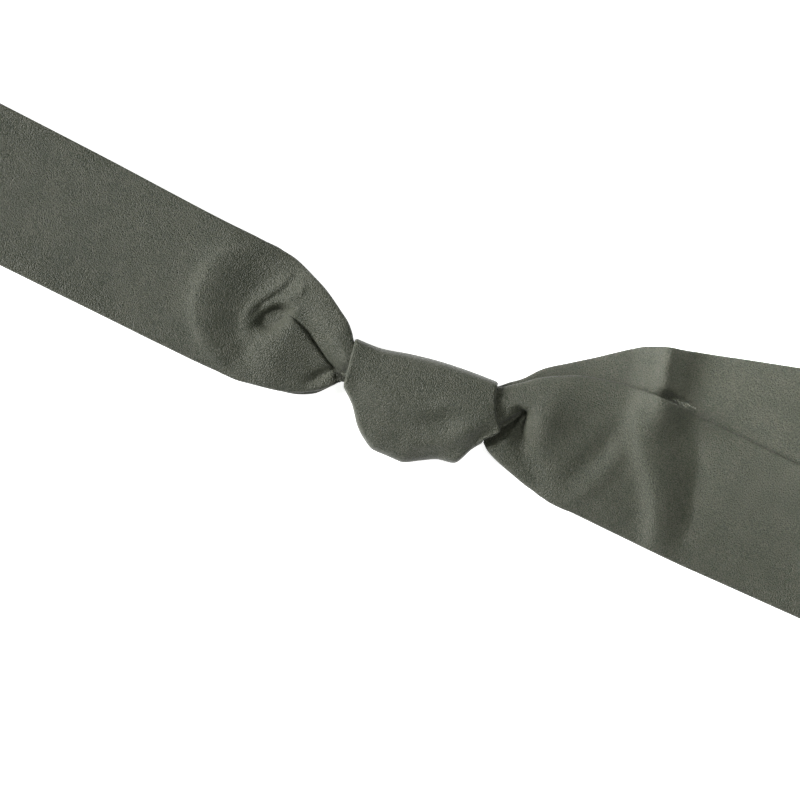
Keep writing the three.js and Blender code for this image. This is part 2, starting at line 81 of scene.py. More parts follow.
# Front strand of the loop. top, bottom: its outline. lip: the edge of the pleat that runs into the knot.
# rim: height of the top edge. crown: of the cone above the pleat. valley: where the cone slips under the lip.
# rise: from the valley to the lip. tuck: how far the cone slips under. belly: height of the lower panel's
# middle. low: height of its bottom edge. hem: what each edge turns under. Heights are above where the strand
# rests on the back strand.
FRONT_STRAND = table(
    "x top bottom lip rim crown valley rise tuck belly low hem",
    (BEND_START, 39.1, -31.3, 4, 0, 0, 0, 0, 0, 0, 0, 0),
    (-190, 37.5, -31.6, 4, 1.1, 1.1, 1.1, 0, 0, 1.1, 1.1, 0),
    (-145, 35.9, -31.8, 4, 2.6, 2.6, 2.6, 0, 0, 2.6, 2.6, 0),
    (-132, 35.5, -31.9, 5, 3.0, 3.2, 3.2, 0, 0, 3.2, 3.0, 0),
    (-120, 35.3, -31.9, 6, 3.2, 4.0, 4.0, 0, 0, 4.0, 3.2, 0),
    (-110, 35.3, -31.9, 7, 3.0, 4.3, 4.3, 0, 0, 4.3, 3.0, 0),
    (-100, 35.0, -31.7, 8.5, 2.8, 4.5, 4.6, 0, 0, 4.6, 2.8, 0),
    (-92, 34.4, -31.2, 9.4, 2.8, 4.7, 4.9, 0, 0, 4.9, 2.8, 0.2),
    (-86, 33.4, -30.7, 9.6, 3.2, 5.0, 5.2, 0, 0, 5.2, 3.0, 0.8),
    (-80, 31.6, -29.5, 9.0, 4.0, 5.6, 5.0, 0.6, 0.2, 5.7, 3.1, 1.5),
    (-74, 29.4, -28.3, 6.8, 5.2, 6.4, 4.3, 1.6, 1.2, 5.1, 3.0, 2.6),
    (-68, 27.1, -27.0, 4.5, 6.4, 7.3, 2.8, 2.6, 2.4, 4.1, 2.7, 3.8),
    (-62, 24.1, -25.3, 1.3, 7.6, 8.4, 1.5, 3.0, 3.4, 3.0, 2.3, 5),
    (-56, 20.6, -22.6, -1.8, 8.6, 9.4, 0.8, 2.8, 4.4, 2.1, 1.9, 6),
    (-50, 17, -19, -4.8, 9.4, 10.1, 0.4, 2.5, 5, 1.6, 1.6, 6.5),
    (-46, 13.2, -15.4, -6.0, 9.3, 9.8, 0.4, 2.2, 5, 1.5, 1.5, 6.5),
    (-43.5, 10, -12.6, -6.4, 8.9, 9.5, 0.4, 2.0, 4.5, 1.3, 1.3, 6),
    (-40, 8.6, -8.9, -5.6, 7.8, 8.5, 0.8, 1.8, 4, 1.0, 1.0, 5),
    (-36, 8.6, -8.2, -5, 6.0, 6.8, 1.6, 1.8, 4, 1.4, 1.4, 5),
    (LOOP_END, 9, -8, -4, 4.4, 5.4, 2.0, 2.0, 4, 2.0, 2.2, 5),
)

# Back strand of the loop, on the floor. height: of its panel above the floor.
BACK_STRAND = table(
    "x top bottom height hem",
    (BEND_END, 39.6, -31.1, 0, 0),
    (-190, 37, -31.1, 0, 0),
    (-112, 34.9, -31.4, 0, 0),
    (-97, 35.3, -30.9, 0, 0),
    (-84, 32.4, -29.3, 0.3, 1),
    (-72, 27.9, -27.2, 1.8, 5),
    (-60, 22.2, -25, 1.8, 8.5),
    (-50, 16.2, -20.3, 2.0, 9),
    (-43.5, 9.6, -12.8, 2.3, 7),
    (-40, 8.4, -8.8, 2.8, 6),
    (-32, 8.4, -8.6, 2 * PITCH, 6),
    (LOOP_END, 8.6, -8, 2 * PITCH, 6),
)

# The loop's far bend, seen from the side: the corners that its soft curve is drawn within
FAR_BEND = table(
    "x z",
    (BEND_START, FLOOR + PITCH),
    (-290, FLOOR + PITCH),
    (-330, 6.6),
    (-376, 12.4),
    (-397, 11),
    (-397, FLOOR),
    (-384, FLOOR),
    (BEND_END, FLOOR),
)

# Folds: each is a ridge, or a hollow where its height is below 0, along a soft curve through its rows.
# left, right: its reach on each side, seen along the curve. All heights of one fold have the same sign.
FOLD = "x y left right height"
LOOP_FOLDS = {
    "outer ridge": table(
        FOLD,
        (-110, 27, 14, 4, 0.7),
        (-118, 19.5, 15, 4, 1.6),
        (-121, 10, 16, 4, 2.0),
        (-120.5, 0, 16, 4, 2.1),
        (-118, -8.5, 15, 4, 2.1),
        (-114, -15, 13, 4, 2.1),
        (-107.5, -21, 11, 4, 2.0),
        (-99, -25, 10, 4, 1.6),
        (-90, -28, 9, 4, 0.9),
    ),
    "bowl behind it": table(
        FOLD,
        (-82, 29, 5, 12, -1.0),
        (-88, 22, 6, 14, -1.9),
        (-92.5, 15, 7, 15, -2.3),
        (-94, 8, 7, 15, -2.4),
        (-93.5, 0, 7, 15, -2.4),
        (-90.5, -7, 6, 14, -2.3),
        (-88, -13, 5, 12, -1.9),
        (-87.5, -20, 5, 10, -1.4),
        (-90, -27, 5, 8, -0.7),
    ),
    "ring round the dimple": table(
        FOLD,
        (-85, 26, 4, 2.4, 0.3),
        (-91.5, 16.8, 4, 2.4, 0.6),
        (-95, 6, 4, 2.4, 0.7),
        (-95.4, -1, 4, 2.4, 0.7),
        (-92.4, -7.4, 4, 2.4, 0.7),
        (-88, -11.5, 4, 2.4, 0.6),
        (-84.6, -14.4, 4, 2.6, 0.6),
        (-84.8, -19, 4, 2.6, 0.5),
        (-88, -26, 4, 2.6, 0.2),
    ),
    "dimple": table(
        FOLD,
        (-88, -5, 4, 3, -0.3),
        (-85.6, -1.4, 6, 3, -2.2),
        (-82.8, 2, 7.6, 3.6, -8.0),
        (-80.8, 5.4, 7, 3.6, -8.0),
        (-78, 8.4, 4, 2.6, -2.0),
        (-72, 7.4, 2.4, 2.4, -0.8),
    ),
    "rim of the dimple": table(
        FOLD,
        (-92, -4, 2.2, 2, 0.3),
        (-90.4, 1.4, 2.4, 2, 1.3),
        (-88, 6.8, 2.4, 2, 1.8),
        (-84, 11, 2.4, 2, 1.9),
        (-78, 13, 2.2, 2, 1.1),
        (-70, 9, 2, 2, 0.3),
    ),
    "first wrinkle": table(
        FOLD,
        (-95, -0.4, 2.2, 1.5, 0.3),
        (-93.2, 6, 2.4, 1.5, 0.9),
        (-90, 13, 2.4, 1.5, 1.3),
        (-86.6, 19, 2.4, 1.5, 1.3),
        (-84.4, 25, 2.4, 1.5, 0.6),
    ),
    "second wrinkle": table(
        FOLD,
        (-84, 13.6, 2, 1.7, 0.4),
        (-79.4, 16.4, 2, 1.7, 1.1),
        (-76.4, 21, 2.4, 1.7, 1.1),
        (-77.6, 26, 2.4, 1.7, 0.4),
    ),
    "crease in the lower panel": table(
        FOLD,
        (-46.6, -6, 1.6, 3, -1.6),
        (-49.6, -11, 1.6, 3.4, -2.2),
        (-54, -17, 1.6, 3.4, -0.9),
    ),
    "hole beside the knot": table(
        FOLD,
        (-45.4, -6.4, 1.6, 1.8, -1.2),
        (-42, -7.4, 2.2, 2.2, -3.0),
        (-39, -8.2, 2.4, 2.2, -3.0),
    ),
    "raised edge": table(
        FOLD,
        (-250, -29, 10, 10, 0.6),
        (-190, -29, 10, 10, 0.9),
        (-150, -29, 10, 10, 0.1),
    ),
}


def read(rows, key, name, at):
    """A column read smoothly between its rows, without overshooting them."""
    x, y = rows[key], rows[name]
    slope = np.diff(y) / np.diff(x)
    before, after = slope[:-1], slope[1:]
    same = before * after > 0
    inner = np.where(same, 2 * before * after / np.where(same, before + after, 1), 0)
    tangent = np.concatenate([slope[:1], inner, slope[-1:]])
    at = np.clip(at, x[0], x[-1])
    i = np.clip(np.searchsorted(x, at, side="right") - 1, 0, len(x) - 2)
    span = x[i + 1] - x[i]
    t = (at - x[i]) / span
    keep = 1 - t
    return (
        y[i] * keep**2 * (1 + 2 * t)
        + tangent[i] * span * t * keep**2
        + y[i + 1] * t**2 * (3 - 2 * t)
        - tangent[i + 1] * span * t**2 * keep
    )


def read_all(rows, key, at):
    """Every column, read at the same places."""
    return {name: read(rows, key, name, at) for name in rows}


def smoothstep(low, high, at):
    """0 up to low, 1 from high on, and a soft rise between them."""
    t = np.clip((at - low) / (high - low), 0, 1)
    return t * t * (3 - 2 * t)


def fold_height(folds, x, y):
    """The height that the folds add at places."""
    total = np.zeros_like(x)
    for fold in folds.values():
        chord = np.hypot(np.diff(fold["x"]), np.diff(fold["y"]))
        fold = {**fold, "at": np.concatenate([[0], np.cumsum(chord)])}
        path = read_all(fold, "at", np.linspace(0, fold["at"][-1], FOLD_STEPS))
        ahead = np.stack([np.gradient(path["x"]), np.gradient(path["y"])])
        ahead /= np.linalg.norm(ahead, axis=0)
        dx = x[..., None] - path["x"]
        dy = y[..., None] - path["y"]
        away = np.hypot(dx, dy)
        side = (ahead[0] * dy - ahead[1] * dx) / np.maximum(away, TINY)
        reach = path["right"] + (path["left"] - path["right"]) * (0.5 + 0.5 * side)
        high = np.abs(path["height"]) * np.exp(-((away / reach) ** 2))
        total += np.sign(fold["height"][0]) * high.max(axis=-1)
    return total


def rounded(corners, steps):
    """Soft curves drawn within rows of corners: an array of (rows, corners, 3)."""
    count = corners.shape[1]
    points = [corners[:, 0]]
    for i in range(1, count - 1):
        start = corners[:, 0] if i == 1 else (corners[:, i - 1] + corners[:, i]) / 2
        end = corners[:, -1] if i == count - 2 else (corners[:, i] + corners[:, i + 1]) / 2
        for t in np.arange(1, steps + 1) / steps:
            points.append((1 - t) ** 2 * start + 2 * t * (1 - t) * corners[:, i] + t**2 * end)
    return np.stack(points, axis=1)


def respaced(points, count):
    """One curve with a set number of points, which crowd into its bends."""
    step = np.diff(points, axis=0)
    length = np.linalg.norm(step, axis=1)
    unit = step / np.maximum(length, TINY)[:, None]
    turned = np.concatenate([[0], np.arccos(np.clip((unit[1:] * unit[:-1]).sum(axis=1), -1, 1))])
    crowded = length + CROWD * turned * np.minimum(1, length / SHARPEST)
    cost = np.concatenate([[0], np.cumsum(crowded)])
    want = np.linspace(0, cost[-1], count)
    return np.stack([np.interp(want, cost, points[:, axis]) for axis in range(3)], axis=1)


def stations(*spans):
    """Places from one span to the next. A span is (from, to, step)."""
    places = [
        np.linspace(a, b, max(1, round(abs(b - a) / step)), endpoint=False) for a, b, step in spans
    ]
    return np.concatenate([*places, [spans[-1][1]]])


def inward(rows):
    """How far each point of a sheet lies from its nearest edge, measured along the sheet."""
    nearest = []
    for axis in (0, 1):
        step = np.linalg.norm(np.diff(rows, axis=axis), axis=2)
        start = np.concatenate([np.zeros_like(np.take(step, [0], axis)), np.cumsum(step, axis)], axis)
        nearest.append(np.minimum(start, np.take(start, [-1], axis) - start))
    return np.minimum(*nearest)


def quads(ids, flip):
    """Four-cornered faces between the points of a grid."""
    a, b, c, d = ids[:-1, :-1], ids[:-1, 1:], ids[1:, 1:], ids[1:, :-1]
    order = (a, d, c, b) if flip else (a, b, c, d)
    return np.stack(order, axis=-1).reshape(-1, 4)


def sheet_mesh(name, rows):
    """A closed mesh round a sheet of cloth, with round bare edges. rows: points of (long, wide, 3), in mm."""
    long, wide = rows.shape[:2]
    normal = np.cross(np.gradient(rows, axis=1), np.gradient(rows, axis=0))
    normal /= np.maximum(np.linalg.norm(normal, axis=2, keepdims=True), TINY)
    share = np.clip(inward(rows) / EDGE_ROUND, 0, 1)
    half = (CLOTH / 2) * np.sqrt(1 - (1 - share) ** 2)
    upper = rows + normal * half[..., None]
    lower = rows - normal * half[..., None]

    # Both faces share the points of the sheet's edge, where the thickness comes down to nothing
    edge = np.zeros((long, wide), bool)
    edge[[0, -1], :] = edge[:, [0, -1]] = True
    upper_id = np.arange(long * wide).reshape(long, wide)
    lower_id = upper_id.copy()
    lower_id[~edge] = long * wide + np.arange((~edge).sum())
    points = np.concatenate([upper.reshape(-1, 3), lower[~edge]]) * MM
    faces = np.concatenate([quads(upper_id, False), quads(lower_id, True)])

    mesh = bpy.data.meshes.new(name)
    mesh.from_pydata(points.tolist(), [], faces.tolist())
    mesh.shade_smooth()
    piece = bpy.data.objects.new(name, mesh)
    bpy.context.collection.objects.link(piece)
    return piece


def plan(x, y):
    """Places seen from above."""
    return np.stack([x, y], axis=1)


def hem_sizes(hem):
    """How far an edge turns under, and how far it bends down before that."""
    return np.maximum(0, hem - LIP), PITCH * np.minimum(1, hem / LIP)


def border(width):
    """How far in from an edge of the strap its own height reaches."""
    return np.minimum(BORDER, width / 4)


def section(top, bottom, profile):
    """Cross-sections from the top edge to the bottom edge, as an array of (rows, points, 3).

    profile holds the corners that their curves are drawn within: distance from the top edge, and height.
    """
    across = bottom - top
    across = across / np.linalg.norm(across, axis=1, keepdims=True)
    corners = [
        np.stack([top[:, 0] + across[:, 0] * reach, top[:, 1] + across[:, 1] * reach, height], axis=1)
        for reach, height in profile
    ]
    curves = rounded(np.stack(corners, axis=1), SECTION_STEPS)
    return np.stack([respaced(curve, ACROSS) for curve in curves])


def front_strand():
    """The strand that shows, from the knot out to the left, with the pleat that runs into the knot."""
    x = stations(
        (LOOP_END, KNOT_LEFT, 4), (KNOT_LEFT, -100, 0.8), (-100, -140, 1.2), (-140, BEND_START, 4)
    )
    row = read_all(FRONT_STRAND, "x", x)
    width = row["top"] - row["bottom"]
    under, down = hem_sizes(row["hem"])
    edge = border(width)
    lip = row["top"] - row["lip"]
    below = width - lip
    rim, crown, valley, rise = row["rim"], row["crown"], row["valley"], row["rise"]
    tuck, belly, low = row["tuck"], row["belly"], row["low"]
    profile = [
        # The top edge and its hem
        (under, rim - down),
        (0 * x, rim - down),
        (0 * x, rim),
        # The cone above the pleat
        (lip * 0.22, crown * 0.8 + rim * 0.2),
        (lip * 0.5, crown),
        (lip * 0.78, crown * 0.55 + valley * 0.45),
        (lip - BEFORE_LIP, valley),
        # The pleat, where the cone slips under the lip
        (lip + tuck, valley),
        (lip + tuck, valley + rise / 2),
        (lip, valley + rise / 2),
        (lip, valley + rise),
        # The lower panel
        (lip + below * 0.2, (valley + rise) * 0.6 + belly * 0.4),
        (lip + below * 0.55, belly),
        (width - edge * 0.5, low * 0.7 + belly * 0.3),
        # The bottom edge and its hem
        (width, low),
        (width, low - down),
        (width - under, low - down),
    ]
    points = section(plan(x, row["top"]), plan(x, row["bottom"]), profile)
    rest = FLOOR + read(BACK_STRAND, "x", "height", points[..., 0]) + PITCH
    waves = fold_height(LOOP_FOLDS, points[..., 0], points[..., 1])
    points[..., 2] = rest + np.maximum(0, points[..., 2] + waves)
    return points


def far_bend(start, end):
    """The soft bend between the last row of the front strand and the first row of the back strand."""
    corners = np.stack([FAR_BEND["x"], 0 * FAR_BEND["x"], FAR_BEND["z"]], axis=1)[None]
    side = respaced(rounded(corners, BEND_STEPS)[0], BEND_ALONG)[1:-1]
    share = np.linspace(0, 1, BEND_ALONG)[1:-1]
    y = start[:, 1] + (end[:, 1] - start[:, 1]) * share[:, None]
    x = np.broadcast_to(side[:, :1], y.shape)
    z = np.broadcast_to(side[:, 2:], y.shape)
    return np.stack([x, y, z], axis=2)


def back_strand():
    """The strand that lies on the floor, from the far bend home into the knot."""
    x = stations((BEND_END, -120, 5), (-120, KNOT_LEFT, 1.5), (KNOT_LEFT, LOOP_END, 5))
    row = read_all(BACK_STRAND, "x", x)
    width = row["top"] - row["bottom"]
    under, down = hem_sizes(row["hem"])
    edge = border(width)
    height = row["height"]
    profile = [
        (under, height - down),
        (0 * x, height - down),
        (0 * x, height),
        (edge, height),
        (width / 2, height),
        (width - edge, height),
        (width, height),
        (width, height - down),
        (width - under, height - down),
    ]
    points = section(plan(x, row["top"]), plan(x, row["bottom"]), profile)
    points[..., 2] = FLOOR + np.maximum(0, points[..., 2])
    return points


def waist_loop():
    """The flattened loop: the front strand, the far bend and the back strand, one after the other."""
    front = front_strand()
    back = back_strand()
    return sheet_mesh("waist_loop_cloth", np.concatenate([front, far_bend(front[-1], back[0]), back]))


# Front tail, straight out of the knot. Its outline runs from (top_x, top_y) to (bottom_x, bottom_y).
# rim, crown, belly, low: heights from its top edge to its bottom edge, above what it rests on.
# hem: what each edge turns under.
TAIL = "top_x top_y bottom_x bottom_y rim crown belly low hem"
FRONT_TAIL = table(
    TAIL,
    (TAIL_START, 8.8, TAIL_START, -8, 5.4, 5.4, 5.4, 5.4, 5),
    (16, 14, 16, -5.6, 5.4, 5.4, 5.4, 5.4, 6),
    (27, 19.6, 28, -4, 5.6, 6.9, 6.2, 5.2, 7),
    (30, 20.8, 32.4, -4, 6.0, 7.4, 6.4, 5.0, 7.5),
    (33, 23, 35, -6, 6.4, 8.0, 6.6, 4.6, 7.5),
    (38, 27, 38, -8.3, 6.4, 8.2, 6.4, 3.8, 7.5),
    (45, 33, 45, -11, 6.2, 8.5, 6.0, 3.0, 7),
    (54, 38.6, 54, -13.4, 5.8, 8.6, 5.6, 2.2, 5),
    (64, 43.4, 64, -15.8, 4.6, 7.2, 4.6, 1.6, 3),
    (76, 46.8, 76, -17.7, 3.6, 5.2, 3.5, 1.2, 1),
    (88, 49.7, 88, -17.9, 3.0, 3.9, 2.6, 0.8, 0),
    (97, 50.6, 97, -17.9, 3.4, 3.5, 2.2, 0.6, 0),
    (108, 51, 108, -17.9, 4.4, 2.9, 1.8, 0.4, 0),
    (122, 51.1, 122, -17.9, 3.2, 1.6, 1.0, 0.2, 0),
    (140, 51.2, 140, -17.8, 1.2, 0.4, 0.2, 0, 0),
    (165, 51.3, 165, -17, 0.3, 0, 0, 0, 0),
    (FRONT_TAIL_END, 51.3, FRONT_TAIL_END, -15, 0.2, 0, 0, 0, 0),
)
FRONT_TAIL_FOLDS = {
    "pocket under the fold": table(
        FOLD,
        (33, -4, 0.5, 4, -5.2),
        (37.1, 4.9, 0.4, 4.8, -7.8),
        (41, 10.4, 0.4, 5.2, -8.8),
        (45.2, 16, 0.5, 4.6, -7.6),
        (47.6, 13.6, 0.8, 4.6, -6.2),
        (48.3, 10, 1.2, 4.6, -5.4),
        (48.8, 6.5, 2, 4.8, -4.6),
        (51.4, 2.4, 3.4, 5.4, -3.0),
        (57, -3.4, 5, 7, -1.9),
        (66, -12, 6, 9, -1.1),
    ),
    "crown beside the pocket": table(
        FOLD,
        (51, 21, 9, 4, 0.2),
        (56, 16, 10, 5, 2.0),
        (58, 9, 9, 5, 1.2),
        (60, 2, 8, 5, 0.2),
    ),
    "wrinkle in the pocket": table(
        FOLD,
        (43.6, 9, 0.6, 0.6, 0.2),
        (46.3, 12.6, 0.7, 0.7, 1.6),
        (47.2, 14.4, 0.6, 0.6, 0.8),
    ),
    "small diagonal ridge": table(
        FOLD,
        (86, -12, 4.5, 4, 0.4),
        (90, -3, 4.5, 4, 0.7),
        (94, 6, 4.5, 4, 0.7),
        (95, 17, 4, 3.6, 0.5),
        (93, 24, 4, 3.6, 0.1),
    ),
    "groove before it": table(
        FOLD,
        (77, -8, 5, 5, -0.4),
        (83, 6, 5, 5, -1.0),
        (88, 19, 5, 5, -0.8),
        (89, 30, 5, 5, -0.2),
    ),
    "cross ridge": table(
        FOLD,
        (97, 47, 16, 4.6, 1.0),
        (97.6, 38, 16, 5, 2.6),
        (102, 29, 16, 5.4, 4.0),
        (108.6, 21, 15, 5.6, 4.6),
        (116, 13, 14, 5.6, 4.6),
        (122, 4, 13, 5.6, 4.2),
        (127.6, -8, 12, 5.6, 3.2),
        (131, -16, 10, 5.6, 1.6),
    ),
    "foot of the cross ridge": table(
        FOLD,
        (121, 43, 3.4, 9, -0.5),
        (130, 34, 3.4, 9, -1.1),
        (136, 25, 3.4, 9, -1.3),
        (140, 15, 3.4, 9, -1.3),
        (142, 6, 3.4, 9, -1.1),
        (141, -5, 3.4, 9, -0.5),
    ),
    "swell along the lower edge": table(
        FOLD,
        (80, -9, 14, 7, 0.2),
        (130, -8, 14, 7, 0.7),
        (FRONT_TAIL_END, -6, 14, 7, 0.9),
    ),
    "hollow beyond": table(
        FOLD,
        (164, 44, 7, 9, -0.2),
        (174, 34, 7, 9, -0.6),
        (184, 24, 7, 9, -0.6),
        (190, 12, 7, 9, -0.2),
    ),
}

# Back tail, fanned away under the front one
BACK_TAIL = table(
    TAIL,
    (TAIL_START, 8.6, TAIL_START, -7.6, 4, 4, 4, 4, 6),
    (16, 15, 16, -6, 4, 4, 4, 4, 7),
    (26, 19.4, 27, -4, 4.0, 4.0, 4.0, 4.0, 8),
    (29, 20.8, 31, -4, 3.6, 3.6, 3.6, 3.6, 8),
    (33, 24.8, 35, -4.8, 3.2, 3.2, 3.2, 3.2, 9),
    (38, 29.2, 39, -5.6, 3.0, 3.0, 3.0, 3.0, 9),
    (45, 38, 48, -7, 2.8, 2.8, 2.8, 2.8, 8),
    (55, 46, 62, -8, 2.6, 2.8, 2.8, 2.8, 6),
    (65, 53.8, 78, -7, 2.6, 2.8, 2.8, 2.6, 4),
    (80, 66, 98, -2.5, 3.2, 3.0, 2.2, 1.6, 1.5),
    (88, 71.5, 108, 2.2, 5.6, 5.2, 1.6, 0.8, 0),
    (95, 74.6, 115, 6.5, 8.6, 7.6, 1.0, 0.3, 0),
    (101, 76.2, 121.4, 9.3, 6.0, 5.2, 0.6, 0.1, 0),
    (108, 78.4, 128.5, 11.6, 2.0, 1.5, 0.2, 0, 0),
    (114, 80.2, 134.5, 13.4, 0.3, 0.2, 0, 0, 0),
    (130, 85.3, 150.5, 18.4, 0, 0, 0, 0, 0),
    (BACK_TAIL_END, 98.8, 194.5, 31.9, 0, 0, 0, 0, 0),
)
BACK_TAIL_FOLDS = {
    "edge of the ridge that stands out": table(
        FOLD,
        (94.5, 76, 2.6, 2.6, 0.5),
        (98, 62, 2.6, 2.6, 0.8),
        (102, 52, 2.6, 2.6, 0.7),
        (106, 40, 2.6, 2.6, 0.1),
    ),
    "gap along the front tail's edge": table(
        FOLD,
        (101, 53.6, 1.4, 4, -1.0),
        (107, 53.2, 2.2, 5, -6.5),
        (115, 52.6, 1.9, 5, -4.6),
        (123, 51.8, 1, 4, -0.8),
    ),
}

# Where a tail has the heights of its crown and its belly, as shares of its width
CROWN_AT = 0.35
BELLY_AT = 0.68

# Past the back tail's hidden edge, the front tail comes down to the floor between these distances from it
DESCENT_START = 1
DESCENT_END = 36
SEARCHES = 6  # tries at finding the section of the back tail that a place lies on, each closer than the last


def tail_rows(rows, rest_at, folds, places):
    """Sections of a tail from its free end to its inner end."""
    row = read_all(rows, "top_x", places[::-1])
    top = plan(row["top_x"], row["top_y"])
    bottom = plan(row["bottom_x"], row["bottom_y"])
    width = np.linalg.norm(bottom - top, axis=1)
    under, down = hem_sizes(row["hem"])
    edge = border(width)
    rim, crown, belly, low = row["rim"], row["crown"], row["belly"], row["low"]
    profile = [
        (under, rim - down),
        (0 * width, rim - down),
        (0 * width, rim),
        (edge, rim * 0.5 + crown * 0.5),
        (width * CROWN_AT, crown),
        (width * BELLY_AT, belly),
        (width - edge * 0.6, low * 0.6 + belly * 0.4),
        (width, low),
        (width, low - down),
        (width - under, low - down),
    ]
    points = section(top, bottom, profile)
    x, y = points[..., 0], points[..., 1]
    points[..., 2] = rest_at(x, y) + np.maximum(0, points[..., 2] + fold_height(folds, x, y))
    return points


def front_tail_rest(x, y):
    """How high the front tail rests: on the back tail, and on the floor beyond that tail's hidden edge."""
    at = x
    for _ in range(SEARCHES):
        row = read_all(BACK_TAIL, "top_x", at)
        lean = (row["bottom_x"] - row["top_x"]) / (row["top_y"] - row["bottom_y"])
        at = x - (row["top_y"] - y) * lean
    reach = np.clip((row["top_y"] - y) / (row["top_y"] - row["bottom_y"]), 0, 1)
    under = row["crown"] + (row["belly"] - row["crown"]) * smoothstep(CROWN_AT, BELLY_AT, reach)
    under += np.maximum(0, row["rim"] - row["crown"]) * (1 - smoothstep(0, CROWN_AT, reach))
    under += (row["low"] - row["belly"]) * smoothstep(BELLY_AT, 1, reach)
    edge = read(BACK_TAIL, "bottom_x", "bottom_y", x)
    return FLOOR + (PITCH + under) * smoothstep(edge - DESCENT_END, edge - DESCENT_START, y)


def front_tail():
    """The free end that comes straight through the knot and lies on top."""
    places = stations((TAIL_START, 26, 3), (26, 52, 0.5), (52, 142, 1), (142, FRONT_TAIL_END, 4))
    return sheet_mesh("front_tail_cloth", tail_rows(FRONT_TAIL, front_tail_rest, FRONT_TAIL_FOLDS, places))


def back_tail():
    """The free end that leaves behind the front tail and fans away from it, on the floor."""
    places = stations((TAIL_START, 27, 3), (27, 112, 1), (112, BACK_TAIL_END, 3))
    rows = tail_rows(BACK_TAIL, lambda x, y: FLOOR, BACK_TAIL_FOLDS, places)
    return sheet_mesh("back_tail_cloth", rows)


# The wrap's fold along the knot's top edge and the crumpled one along its bottom edge.
# side: 0 at the left side of the band, 1 at its right side.
WRAP_TOP = table(
    "side x y",
    (0, -43, 11.5),
    (0.14, -32, 12.2),
    (0.4, -15, 16.5),
    (0.62, 0, 19.6),
    (0.82, 15, 21.5),
    (1, 28, 22.6),
)
WRAP_BOTTOM = table(
    "side x y",
    (0, -38.5, -10.5),
    (0.1, -30.5, -16.8),
    (0.2, -23, -25.5),
    (0.28, -18, -29.2),
    (0.36, -11.5, -32),
    (0.44, -4, -31.6),
    (0.52, 2, -31.4),
    (0.62, 10, -27),
    (0.72, 18, -22.4),
    (0.82, 25.6, -20.6),
    (0.92, 30.2, -11),
    (1, 33.4, -6),
)

# Once round the wrap, between its hidden ends under the knot. reach: 0 at the top fold, 1 at the bottom fold.
# rim, middle: heights at the band's sides and in its middle. tip: how far the right side stands out.
WRAP_ROUND = table(
    "reach rim middle tip",
    (0.72, FLOOR, FLOOR, 0),
    (0.4, FLOOR, FLOOR, 0),
    (0.08, FLOOR, FLOOR, 0),
    (0, FLOOR, FLOOR, 0),
    (0, 14.4, 13.6, 0),
    (0.14, 14.7, 15.6, 0),
    (0.34, 14.8, 16.4, 1.4),
    (0.54, 14.9, 15.2, 3.6),
    (0.72, 15, 11.8, 8.6),
    (0.88, 14.8, 8.8, 1.8),
    (1, 13.6, 7.4, 0),
    (1, FLOOR, FLOOR, 0),
    (0.92, FLOOR, FLOOR, 0),
    (0.75, FLOOR, FLOOR, 0),
)
WRAP_FOLDS = {
    "crown line": table(
        FOLD,
        (-38, -7, 4, 4, 0.5),
        (-24, -7, 4.6, 4, 1.3),
        (-8, -6.5, 5, 4.4, 1.6),
        (0, -5, 5, 4.4, 1.6),
        (12, 2.5, 5, 4.4, 1.5),
        (26, 8, 4.6, 4, 1.0),
        (32, 11.7, 4, 4, 0.4),
    ),
    "left edge over the cone": table(
        FOLD,
        (-43, 11.5, 5, 5, 0.6),
        (-41, 2, 5, 5, 0.4),
        (-39, -8, 5, 5, 0.8),
    ),
    "crease before the lower edge": table(
        FOLD,
        (-21, -26.5, 8, 2.4, 0.5),
        (-10, -27.2, 10, 2.8, 1.2),
        (1, -27.6, 12, 3.2, 1.6),
        (8.5, -22, 9, 4.4, 2.2),
        (19.4, -11, 8, 5, 2.6),
        (27, -0.6, 7, 4.6, 2.4),
        (33, 6.4, 6, 3.4, 1.2),
    ),
}
SWELL_LEAN = 1.3  # above 1, the band's middle height leans towards its right side
SWELL_FULLNESS = 0.8  # below 1, the middle height reaches further out than in a sine curve
TIP_SHARPNESS = 5  # the higher, the closer the tip keeps to the band's right side
FOLDS_START = 7  # the wrap's folds set in from this height up, so that none reaches the layer under the knot
FOLDS_FULL = 10  # and have their whole height from here up


def knot_wrap():
    """The band round the knot, from its left side to its right side."""
    side = np.linspace(0, 1, WRAP_ACROSS)
    swell = np.sin(np.pi * side**SWELL_LEAN) ** SWELL_FULLNESS
    top = plan(read(WRAP_TOP, "side", "x", side), read(WRAP_TOP, "side", "y", side))
    bottom = plan(read(WRAP_BOTTOM, "side", "x", side), read(WRAP_BOTTOM, "side", "y", side))
    corners = []
    for reach, rim, middle, tip in zip(*WRAP_ROUND.values()):
        place = top + (bottom - top) * reach
        place[:, 0] += tip * side**TIP_SHARPNESS
        corners.append(np.stack([place[:, 0], place[:, 1], rim + (middle - rim) * swell], axis=1))
    lines = rounded(np.stack(corners, axis=1), WRAP_STEPS)
    points = np.stack([respaced(line, WRAP_ALONG) for line in lines])
    shown = smoothstep(FOLDS_START, FOLDS_FULL, points[..., 2])
    points[..., 2] += shown * fold_height(WRAP_FOLDS, points[..., 0], points[..., 1])
    return sheet_mesh("knot_wrap_cloth", points)


